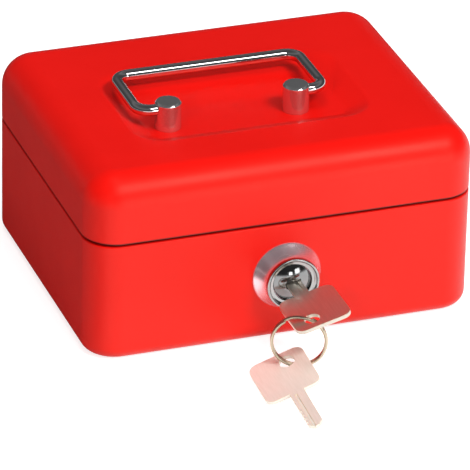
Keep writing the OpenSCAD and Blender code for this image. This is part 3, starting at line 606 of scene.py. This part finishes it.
def bent_wire_tree():
    """Round wire bent to a flat loop with turned-in ends, for the swinging handle."""
    tree, source, sink = shape_tree("bent_wire", [
        ("Wire Radius", FLOAT, WIRE_R * MM), ("Half Width", FLOAT, BAIL_HALF * MM),
        ("Reach", FLOAT, BAIL_REACH * MM), ("Bend Radius", FLOAT, BEND_R * MM),
        ("Pivot Start", FLOAT, (POST_DX + POST_TOP_R - WIRE_END_IN) * MM),
        ("Pivot", VECTOR, (HANDLE_X * MM, HANDLE_Y * MM, PIVOT_Z * MM)), ("Finish", MATERIAL, None)])
    wide, reach, start = (source.outputs[k] for k in ("Half Width", "Reach", "Pivot Start"))
    left, left_start = math_node(tree, "MULTIPLY", wide, -1.0), math_node(tree, "MULTIPLY", start, -1.0)
    # corners of the loop from one pivot to the other; 0 leaves a corner on the pivots' line
    across = (start, wide, wide, left, left, left_start)
    away = (0.0, 0.0, reach, reach, 0.0, 0.0)
    spot = tree.nodes.new("ShaderNodeCombineXYZ")
    for axis, row in (("X", across), ("Y", away)):
        pick = add(tree, "GeometryNodeIndexSwitch", data_type="FLOAT")
        while len(pick.index_switch_items) < len(row):
            pick.index_switch_items.new()
        link(tree, tree.nodes.new("GeometryNodeInputIndex").outputs[0], pick.inputs["Index"])
        for i, value in enumerate(row):
            feed(tree, value, pick.inputs[i + 1])
        link(tree, pick.outputs[0], spot.inputs[axis])
    points = add(tree, "GeometryNodePoints", Count=len(across))
    link(tree, spot.outputs[0], points.inputs["Position"])
    line = tree.nodes.new("GeometryNodePointsToCurves")
    link(tree, points.outputs[0], line.inputs["Points"])
    bends = add(tree, "GeometryNodeFilletCurve", mode="POLY", Count=BEND_STEPS)
    link(tree, line.outputs[0], bends.inputs["Curve"])
    link(tree, source.outputs["Bend Radius"], bends.inputs["Radius"])
    wire = swept_wire(tree, bends.outputs["Curve"], source.outputs["Wire Radius"], WIRE_SIDES)
    place = add(tree, "GeometryNodeTransform")
    link(tree, wire, place.inputs["Geometry"])
    link(tree, source.outputs["Pivot"], place.inputs["Translation"])
    finish_tree(tree, place.outputs["Geometry"], source, sink)
    return tree


def key_ring_tree():
    """A split ring: wire wound nearly twice round, each turn flat, with a step between and two cut ends."""
    tree, source, sink = shape_tree("split_ring_coil", [
        ("Ring Radius", FLOAT, RING_R * MM), ("Wire Radius", FLOAT, RING_WIRE * MM),
        ("Turn Offset", FLOAT, RING_OFFSET * MM), ("First End", FLOAT, math.radians(RING_FIRST_END)),
        ("Sweep", FLOAT, math.radians(RING_SWEEP)), ("Step Middle", FLOAT, 0.5),
        ("Step Half", FLOAT, RING_STEP_HALF), ("Centre", VECTOR, tuple(v * MM for v in RING_MID)),
        ("Turned", "NodeSocketRotation", None), ("Finish", MATERIAL, None)])
    line = tree.nodes.new("GeometryNodeCurvePrimitiveLine")
    fine = add(tree, "GeometryNodeResampleCurve", Count=RING_STEPS)
    link(tree, line.outputs["Curve"], fine.inputs["Curve"])
    along = tree.nodes.new("GeometryNodeSplineParameter").outputs["Factor"]
    turn = math_node(tree, "ADD", math_node(tree, "MULTIPLY", along, source.outputs["Sweep"]),
                     source.outputs["First End"])
    low = math_node(tree, "SUBTRACT", source.outputs["Step Middle"], source.outputs["Step Half"])
    high = math_node(tree, "ADD", source.outputs["Step Middle"], source.outputs["Step Half"])
    rise = add(tree, "ShaderNodeMapRange", interpolation_type="SMOOTHERSTEP", To_Min=-1.0, To_Max=1.0)
    for key, value in (("Value", along), ("From Min", low), ("From Max", high)):
        link(tree, value, rise.inputs[key])
    spot = tree.nodes.new("ShaderNodeCombineXYZ")
    for axis, trig in (("X", "COSINE"), ("Y", "SINE")):
        unit = math_node(tree, trig, turn)
        link(tree, math_node(tree, "MULTIPLY", unit, source.outputs["Ring Radius"]), spot.inputs[axis])
    link(tree, math_node(tree, "MULTIPLY", rise.outputs["Result"], source.outputs["Turn Offset"]),
         spot.inputs["Z"])
    coil = tree.nodes.new("GeometryNodeSetPosition")
    link(tree, fine.outputs["Curve"], coil.inputs["Geometry"])
    link(tree, spot.outputs[0], coil.inputs["Position"])
    up = add(tree, "GeometryNodeSetCurveNormal", mode="Z_UP")
    link(tree, coil.outputs["Geometry"], up.inputs["Curve"])
    wire = swept_wire(tree, up.outputs["Curve"], source.outputs["Wire Radius"], RING_SIDES)
    place = add(tree, "GeometryNodeTransform")
    link(tree, wire, place.inputs["Geometry"])
    link(tree, source.outputs["Centre"], place.inputs["Translation"])
    link(tree, source.outputs["Turned"], place.inputs["Rotation"])
    finish_tree(tree, place.outputs["Geometry"], source, sink)
    return tree


def fastener_rows_tree():
    """Copies one fastener to the two places of a pair, or to four: two on each of two hinges."""
    tree, source, sink = shape_tree("fastener_rows", [
        ("Fastener", "NodeSocketObject", None), ("Half Span", FLOAT, HINGE_X * MM),
        ("Half Pitch", FLOAT, RIVET_DX * MM), ("Rows", "NodeSocketInt", 4),
        ("Place", VECTOR, (0, 0, 0)), ("Finish", MATERIAL, None)])
    points = tree.nodes.new("GeometryNodePoints")
    link(tree, source.outputs["Rows"], points.inputs["Count"])
    index = tree.nodes.new("GeometryNodeInputIndex").outputs[0]

    def sign_of(mask):
        """-1 where the mask is 0, and 1 where it is 1."""
        return math_node(tree, "SUBTRACT", math_node(tree, "MULTIPLY", mask, 2.0), 1.0)

    side = sign_of(math_node(tree, "MODULO", index, 2.0))
    pair = sign_of(math_node(tree, "GREATER_THAN", index, 1.5))
    spot = tree.nodes.new("ShaderNodeCombineXYZ")
    link(tree, math_node(tree, "ADD", math_node(tree, "MULTIPLY", side, source.outputs["Half Span"]),
                         math_node(tree, "MULTIPLY", pair, source.outputs["Half Pitch"])), spot.inputs["X"])
    moved = add(tree, "ShaderNodeVectorMath", operation="ADD")
    link(tree, spot.outputs[0], moved.inputs[0])
    link(tree, source.outputs["Place"], moved.inputs[1])
    link(tree, moved.outputs["Vector"], points.inputs["Position"])
    master = tree.nodes.new("GeometryNodeObjectInfo")
    link(tree, source.outputs["Fastener"], master.inputs["Object"])
    copies = tree.nodes.new("GeometryNodeInstanceOnPoints")
    link(tree, points.outputs[0], copies.inputs["Points"])
    link(tree, master.outputs["Geometry"], copies.inputs["Instance"])
    finish_tree(tree, copies.outputs["Instances"], source, sink)
    return tree


# ---------------------------------------------------------------- sheet-metal shells

def body_ring(inset, z):
    """A ring round the box at height z, drawn in from its outside."""
    return rounded_ring(BOX_W - 2 * inset, BOX_D - 2 * inset, CORNER_R - inset, z)


def edge_arc(radius, wall_z, sign, steps):
    """(inset, z) points round an edge radius, from the wall to the top for sign 1, to the base for -1."""
    points = []
    for k in range(steps + 1):
        t = math.radians(90.0 * k / steps)
        points.append((radius * (1 - math.cos(t)), wall_z + sign * radius * math.sin(t)))
    return points


def make_body_shell():
    """Drawn body of one sheet, with its wall stepped in to the rim that the lid goes over."""
    t, step_in = SHEET, 0.4 * SHEET
    outer = list(reversed(edge_arc(BASE_R, BASE_R, -1, 10)))
    inner = [(t + i, z) for i, z in edge_arc(BASE_R - t, BASE_R, -1, 10)]
    wall = soft_path([
        (*outer[-1], 0), (0, WALL_TOP, 0.5), (RIM_INSET, WALL_TOP + JOGGLE, 0.35), (RIM_INSET, RIM_TOP, 0.3),
        (RIM_INSET + t, RIM_TOP, 0.3), (RIM_INSET + t, WALL_TOP + JOGGLE - step_in, 0.4),
        (t, WALL_TOP - step_in, 0.35), (*inner[0], 0)], 4)
    return skin_rings("box_body", [body_ring(i, z) for i, z in outer + wall[1:-1] + inner])


def panel_ring(share, drop):
    """A ring on the sunken panel, from its border at share 0 to its floor at share 1, both bends eased."""
    front_y = RECESS_Y - RECESS_D / 2 + RECESS_SLOPE
    border = rounded_ring(RECESS_W, RECESS_D, RECESS_R, 0, RECESS_X, RECESS_Y)
    floor = rounded_ring(RECESS_W - 2 * RECESS_SLOPE, RISE_Y - front_y, RECESS_R - RECESS_SLOPE, 0,
                         RECESS_X, (RISE_Y + front_y) / 2)
    bend = min(max(share, -PANEL_EASE), 1 + PANEL_EASE)
    if bend < PANEL_EASE:
        sunk = (bend + PANEL_EASE) ** 2 / (4 * PANEL_EASE)
    elif bend > 1 - PANEL_EASE:
        sunk = 1 - (1 + PANEL_EASE - bend) ** 2 / (4 * PANEL_EASE)
    else:
        sunk = bend
    z = BOX_H - RECESS_DEPTH * sunk - drop
    return [(a[0] + (b[0] - a[0]) * share, a[1] + (b[1] - a[1]) * share, z) for a, b in zip(border, floor)]


def make_lid_shell():
    """Drawn lid of one sheet, with its rounded top edge and the sunken panel."""
    t = SHEET
    eased = [2 * PANEL_EASE * k / EASE_STEPS - PANEL_EASE for k in range(EASE_STEPS + 1)]
    shares = eased + [0.4, 0.7] + [1 + share for share in eased]
    wall_z = BOX_H - LID_TOP_R
    under = [(t + i, z) for i, z in edge_arc(LID_TOP_R - t, wall_z, 1, 14)]
    edge = soft_path([(*under[0], 0), (t, LID_EDGE, 0.32), (0, LID_EDGE, 0.32), (0, wall_z, 0)], 4)
    walls = list(reversed(under)) + edge[1:-1] + edge_arc(LID_TOP_R, wall_z, 1, 16)
    rings = [panel_ring(share, t) for share in reversed(shares)]
    rings += [body_ring(i, z) for i, z in walls]
    rings += [panel_ring(share, 0) for share in shares]
    return skin_rings("box_lid", rings)


fit(smooth_shade(make_body_shell(), 50), "box", "red_paint", RED, "body_shell")
fit(smooth_shade(make_lid_shell(), 50), "lid", "red_paint", RED, "lid_shell")


# ---------------------------------------------------------------- handle and its posts

def make_post(name, side):
    """A turned post with a bevelled top and a bore for the wire's end; side is -1 left and 1 right."""
    x = HANDLE_X + side * POST_DX
    post = turned(name, soft_path([
        (0, 0, 0), (POST_BASE_R, 0, 0.1), (POST_BASE_R, POST_FOOT, 0.3),
        (POST_TOP_R, POST_H - POST_BEVEL * 2, 1.5), (POST_TOP_R, POST_H - POST_BEVEL, 0.25),
        (POST_TOP_R - POST_BEVEL, POST_H, 0.3), (0, POST_H, 0)], 4),
        (x, HANDLE_Y, PANEL_Z))
    bore = turned(name + "_bore", [(0, 0), (BORE_R, 0), (BORE_R, BORE_LEN), (0, BORE_LEN)], n=48)
    bore.data.transform(Matrix.Translation(Vector((x + side * BORE_START, HANDLE_Y, PIVOT_Z)) * MM)
                        @ Matrix.Rotation(math.radians(90 * side), 4, "Y"))
    cut_with(post, bore)
    return smooth_shade(post, 38)


fit(grow("handle_wire", bent_wire_tree(), Finish=WIRE_CHROME), "handle", "chrome", WIRE_CHROME, "bail_handle")
fit(make_post("handle_post_l", -1), "lid", "chrome", POST_CHROME, "handle_post_left")
fit(make_post("handle_post_r", 1), "lid", "chrome", POST_CHROME, "handle_post_right")


# ---------------------------------------------------------------- rivets, screws and washers

def make_rivet():
    """One rivet along Y with a domed head outside and an upset tail inside, its leaf face at zero."""
    inside = -(LEAF_T + SHEET)
    tail_end = inside - RIVET_TAIL_H
    return turned("rivet_master", soft_path([
        (0, RIVET_HEAD_H, 0), (1.5, 0.72, 1.5), (2.1, 0.35, 0.6), (RIVET_HEAD_R, 0, 0.1), (RIVET_R, 0, 0),
        (RIVET_R, inside, 0), (RIVET_TAIL_R, inside, 0.1), (RIVET_TAIL_R, tail_end, 0.3),
        (0, tail_end, 0)], 3), axis="Y", n=32)


def make_screw():
    """One pan-head screw along Z with a cross recess, its head downwards."""
    seat = -SHEET - WASHER_T
    face = seat - SCREW_HEAD_H
    screw = turned("screw_master", soft_path([
        (0, face, 0), (SCREW_HEAD_R - 1, face, 0.9), (SCREW_HEAD_R, seat - SCREW_HEAD_H / 2, 0.5),
        (SCREW_HEAD_R, seat, 0.15), (SCREW_R, seat, 0), (SCREW_R, SCREW_IN, 0.4), (0, SCREW_IN, 0)], 4), n=40)
    for angle in (0, 90):
        arm = bmesh.new()
        bmesh.ops.create_cube(arm, size=1.0, matrix=Matrix.Translation((0, 0, face * MM))
                              @ Matrix.Rotation(math.radians(angle), 4, "Z")
                              @ Matrix.Diagonal((CROSS_LEN * MM, CROSS_W * MM, SCREW_HEAD_H * MM, 1.0)))
        cut_with(screw, object_of("cross_cutter", arm))
    return screw


def make_washer():
    """One plain washer under the lid's sheet."""
    top, low = -SHEET, -SHEET - WASHER_T
    return turned("washer_master", soft_path([
        (WASHER_HOLE_R, top, 0), (WASHER_R, top, 0.12), (WASHER_R, low, 0.12), (WASHER_HOLE_R, low, 0),
        (WASHER_HOLE_R, top, 0)], 3), n=48)


ROWS = fastener_rows_tree()
LEAF_Y = BOX_D / 2 + LEAF_T
BODY_ROW, LID_ROW = (0, LEAF_Y, HINGE_Z - RIVETS_DOWN), (0, LEAF_Y, HINGE_Z + RIVETS_UP)
POST_ROW = (HANDLE_X, HANDLE_Y, PANEL_Z)
rivet, screw, washer = make_rivet(), make_screw(), make_washer()
for piece, node, body, master, number, half_span, half_pitch, place in (
        ("body_rivets", "hinge_body_rivets", "box", rivet, 4, HINGE_X, RIVET_DX, BODY_ROW),
        ("lid_rivets", "hinge_lid_rivets", "lid", rivet, 4, HINGE_X, RIVET_DX, LID_ROW),
        ("post_screws", "handle_screws", "lid", screw, 2, POST_DX, 0, POST_ROW),
        ("post_washers", "handle_washers", "lid", washer, 2, POST_DX, 0, POST_ROW)):
    row = grow(piece, ROWS, Fastener=master, Rows=number, Half_Span=half_span * MM,
               Half_Pitch=half_pitch * MM, Place=tuple(v * MM for v in place), Finish=ZINC)
    fit(smooth_shade(row, 40), body, "zinc", ZINC, node)
for master in (rivet, screw, washer):
    bpy.data.objects.remove(master)


# ---------------------------------------------------------------- lock

def lock_cone():
    """(radius, y) points of the hollow cone from the flange's edge to the neck."""
    wide, start = FLANGE_R - 0.3, FRONT_Y - FLANGE_T
    return [(NECK_R + (wide - NECK_R) * (1 - i / CONE_STEPS) ** CONE_HOLLOW,
             start + (FACE_BACK - start) * i / CONE_STEPS) for i in range(CONE_STEPS + 1)]


def make_lock_body():
    """Barrel, flange and hollow cone in one turned piece, bored for the plug and for the plug's head."""
    cone = lock_cone()
    outside = soft_path([
        (PLUG_BORE_R, BARREL_END, 0), (BARREL_R, BARREL_END, 0.3), (BARREL_R, FRONT_Y, 0),
        (FLANGE_R, FRONT_Y, 0.1), (FLANGE_R, FRONT_Y - FLANGE_T * 0.5, 0.3), (*cone[0], 0)])
    inside = [(HEAD_BORE_R, FACE_BACK), (HEAD_BORE_R, HEAD_BORE_END), (PLUG_BORE_R, HEAD_BORE_END),
              (PLUG_BORE_R, BARREL_END)]
    return turned("lock_body", outside + cone[1:] + inside, (0, 0, LOCK_Z), "Y", 96)


def make_lock_rim():
    """Ring round the lock's face: a rounded outer lip and a dished inside."""
    return turned("lock_rim", soft_path([
        (HEAD_BORE_R, FACE_BACK, 0), (NECK_R, FACE_BACK, 0.1), (FACE_R, FACE_BACK - 0.5, 0.3),
        (FACE_R, FACE_FRONT + 0.5, 0.4), (FACE_R - 0.15, FACE_FRONT + 0.15, 0.4),
        (FACE_R - 0.5, FACE_FRONT, 0.4), (FACE_R - 0.8, FACE_FRONT + 0.15, 0.3),
        (FACE_R - 1.2, FACE_FRONT + 0.8, 0.5), (FACE_R - 1.7, FACE_FRONT + 1.2, 0.8),
        (HEAD_BORE_R, FACE_FRONT + 1.4, 0.15),
        (HEAD_BORE_R, FACE_BACK, 0)]), (0, 0, LOCK_Z), "Y", 96)


fit(smooth_shade(make_lock_body(), 32), "box", "chrome", LOCK_CHROME, "lock_housing")
fit(smooth_shade(make_lock_rim(), 32), "box", "chrome", RIM_CHROME, "lock_face_ring")

# ---------------------------------------------------------------- pieces in the solids' form, edges rounded

SOFTENED = (
    # node, piece, width of the rounding, body, slot, material
    ("hinge_left_body_leaf", "hinge_l_body_leaf", 0.14, "box", "zinc", ZINC),
    ("hinge_left_lid_leaf", "hinge_l_lid_leaf", 0.14, "lid", "zinc", ZINC),
    ("hinge_left_pin", "hinge_l_pin", 0.2, "box", "zinc", ZINC),
    ("hinge_right_body_leaf", "hinge_r_body_leaf", 0.14, "box", "zinc", ZINC),
    ("hinge_right_lid_leaf", "hinge_r_lid_leaf", 0.14, "lid", "zinc", ZINC),
    ("hinge_right_pin", "hinge_r_pin", 0.2, "box", "zinc", ZINC),
    ("lock_washer", "lock_fibre_washer", 0.1, "box", "zinc", ZINC),
    ("lock_nut", "lock_hex_nut", 0.35, "box", "zinc", ZINC),
    ("lock_cam", "lock_cam_arm", 0.2, "plug", "zinc", ZINC),
    ("cam_screw", "cam_fixing_screw", 0.25, "plug", "zinc", ZINC),
    ("lid_catch", "catch_bracket", 0.2, "lid", "zinc", ZINC),
    ("coin_tray", "money_tray", 0.55, "tray", "tray_plastic", TRAY),
    ("tray_rail_left", "tray_rail_l", 0.18, "box", "red_paint", RED),
    ("tray_rail_right", "tray_rail_r", 0.18, "box", "red_paint", RED),
    ("lock_key", "key_in_lock", 0.24, "key", "nickel", KEY_NICKEL),
    ("spare_key", "key_on_ring", 0.24, "spare", "nickel", DULL_NICKEL),
    ("lock_plug", "lock_plug_core", 0.12, "plug", "chrome", PLUG_STEEL),
)
for node, piece, width, body, slot, material in SOFTENED:
    fit(soften(merged_copy(node, piece), width), body, slot, material, node)
nodes["lock_wafers"].data.materials.clear()
nodes["lock_wafers"].data.materials.append(BRASS)

# ---------------------------------------------------------------- split ring

upright = Matrix.Rotation(math.radians(RING_YAW), 4, "Z") @ Matrix.Rotation(math.radians(90), 4, "X")
ring = grow("key_ring", key_ring_tree(), Turned=tuple(upright.to_euler()), Finish=RING_NICKEL)
fit(ring, "ring", "nickel", RING_NICKEL, "split_ring")

# ---------------------------------------------------------------- floor, light and camera, in metres

# In mirrored light the floor turns from shade to light where x - y goes from SHADOW_FROM to SHADOW_TO
FLOOR_HALF, FLOOR_GREY, FLOOR_GLOW = 6.0, 0.70, 0.72
SHADOW_GREY, SHADOW_FROM, SHADOW_TO = 0.03, -0.030, 0.005
CEILING = ((0.08, 0.06), (0.30, 0.055), (0.46, 0.075), (0.60, 0.17), (0.80, 0.10))  # height on the sky, level
LAMPS_AIM = (0.0, 0.0, 0.045)
SOFTBOXES = (
    # name, place, width, height, power, whether the metal mirrors it
    ("key_softbox", (0.50, -1.10, 1.50), 0.45, 0.32, 18.0, False),
    ("strip_softbox", (0.48, -1.08, 1.48), 1.10, 0.42, 9.0, True),
    ("overhead_softbox", (-0.10, -0.05, 1.30), 0.50, 0.40, 4.5, False),
    ("left_fill", (-0.95, -1.25, 0.75), 0.50, 0.50, 9.0, False),
    ("window_near", (0.22, -1.42, 0.17), 0.24, 0.20, 0.8, True),
    ("window_far", (0.73, -1.29, 0.24), 0.36, 0.32, 1.8, True),
)
CAMERA_LENS, CAMERA_PLACE = 378.08, (-0.567706, -1.575713, 0.889344)
CAMERA_RIGHT = (0.943864, -0.329697, 0.020484)
CAMERA_DOWN = (-0.135958, -0.444241, -0.885531)
CAMERA_AHEAD = (0.301057, 0.833036, -0.464129)


def grey(level):
    """A plain grey."""
    return (level, level, level)


def studio_floor():
    """White table that glows to white. In mirrored light it stays dark left of the box's front corner, as a
    stand-in for the box's own shadow, which the glow would wash out."""
    mesh = bpy.data.meshes.new("studio_floor")
    s = FLOOR_HALF
    mesh.from_pydata([(-s, -s, 0), (s, -s, 0), (s, s, 0), (-s, s, 0)], [], [(0, 1, 2, 3)])
    floor = bpy.data.objects.new("studio_floor", mesh)
    bpy.context.scene.collection.objects.link(floor)
    mat = bpy.data.materials.new("white_table")
    mat.use_nodes = True
    tree = mat.node_tree
    tree.nodes.clear()
    out = tree.nodes.new("ShaderNodeOutputMaterial")
    parts = tree.nodes.new("ShaderNodeSeparateXYZ")
    link(tree, tree.nodes.new("ShaderNodeTexCoord").outputs["Object"], parts.inputs[0])
    lit = add(tree, "ShaderNodeMapRange", interpolation_type="SMOOTHSTEP", From_Min=SHADOW_FROM,
              From_Max=SHADOW_TO, To_Min=SHADOW_GREY, To_Max=1.0)
    link(tree, math_node(tree, "SUBTRACT", parts.outputs["X"], parts.outputs["Y"]), lit.inputs["Value"])
    rays = tree.nodes.new("ShaderNodeLightPath")
    mirrored = mix(tree, lit.outputs["Result"], grey(SHADOW_GREY), grey(FLOOR_GREY))
    base = tree.nodes.new("ShaderNodeBsdfDiffuse")
    link(tree, mix(tree, rays.outputs["Is Glossy Ray"], grey(FLOOR_GREY), mirrored), base.inputs["Color"])
    seen = math_node(tree, "MULTIPLY", rays.outputs["Is Glossy Ray"], lit.outputs["Result"])
    for ray in ("Is Transmission Ray", "Is Camera Ray"):
        seen = math_node(tree, "MAXIMUM", rays.outputs[ray], seen)
    glow = tree.nodes.new("ShaderNodeEmission")
    link(tree, math_node(tree, "MULTIPLY", seen, FLOOR_GLOW), glow.inputs["Strength"])
    both = tree.nodes.new("ShaderNodeAddShader")
    link(tree, base.outputs[0], both.inputs[0])
    link(tree, glow.outputs[0], both.inputs[1])
    link(tree, both.outputs[0], out.inputs["Surface"])
    mesh.materials.append(mat)


def studio_world():
    """White near the horizon, where the floor meets it, and a dim ceiling above."""
    world = bpy.data.worlds.new("studio")
    bpy.context.scene.world = world
    world.use_nodes = True
    tree = world.node_tree
    tree.nodes.clear()
    out = tree.nodes.new("ShaderNodeOutputWorld")
    back = tree.nodes.new("ShaderNodeBackground")
    parts = tree.nodes.new("ShaderNodeSeparateXYZ")
    link(tree, tree.nodes.new("ShaderNodeTexCoord").outputs["Generated"], parts.inputs[0])
    ramp = tree.nodes.new("ShaderNodeValToRGB")
    stops = ramp.color_ramp.elements
    stops[0].position, stops[0].color = 0.02, (0.6, 0.6, 0.6, 1)
    stops[1].position, stops[1].color = 1.0, (0.06, 0.06, 0.062, 1)
    for height, level in CEILING:
        stops.new(height).color = (level, level, level * 1.02, 1)
    link(tree, parts.outputs["Z"], ramp.inputs["Fac"])
    link(tree, ramp.outputs["Color"], back.inputs["Color"])
    link(tree, back.outputs[0], out.inputs["Surface"])


def softbox(name, place, width, height, power, mirrored):
    """A rectangular lamp aimed at the box; one that isn't mirrored lights the surfaces only diffusely."""
    lamp = bpy.data.lights.new(name, "AREA")
    lamp.shape = "RECTANGLE"
    lamp.size, lamp.size_y, lamp.energy = width, height, power
    obj = bpy.data.objects.new(name, lamp)
    bpy.context.scene.collection.objects.link(obj)
    direction = Vector(LAMPS_AIM) - Vector(place)
    obj.matrix_world = Matrix.Translation(place) @ direction.to_track_quat("-Z", "Y").to_matrix().to_4x4()
    obj.visible_glossy = mirrored


def studio_camera():
    """The camera, set by its own three axes."""
    camera = bpy.data.objects.new("camera", bpy.data.cameras.new("camera"))
    bpy.context.scene.collection.objects.link(camera)
    camera.data.sensor_width = 36.0
    camera.data.lens = CAMERA_LENS
    camera.data.clip_start, camera.data.clip_end = 0.05, 30.0
    pose = Matrix((Vector(CAMERA_RIGHT), -Vector(CAMERA_DOWN), -Vector(CAMERA_AHEAD))).transposed().to_4x4()
    pose.translation = Vector(CAMERA_PLACE)
    camera.matrix_world = pose
    bpy.context.scene.camera = camera


studio_floor()
studio_world()
for lamp_values in SOFTBOXES:
    softbox(*lamp_values)
studio_camera()
bpy.context.scene.view_settings.view_transform = "Standard"
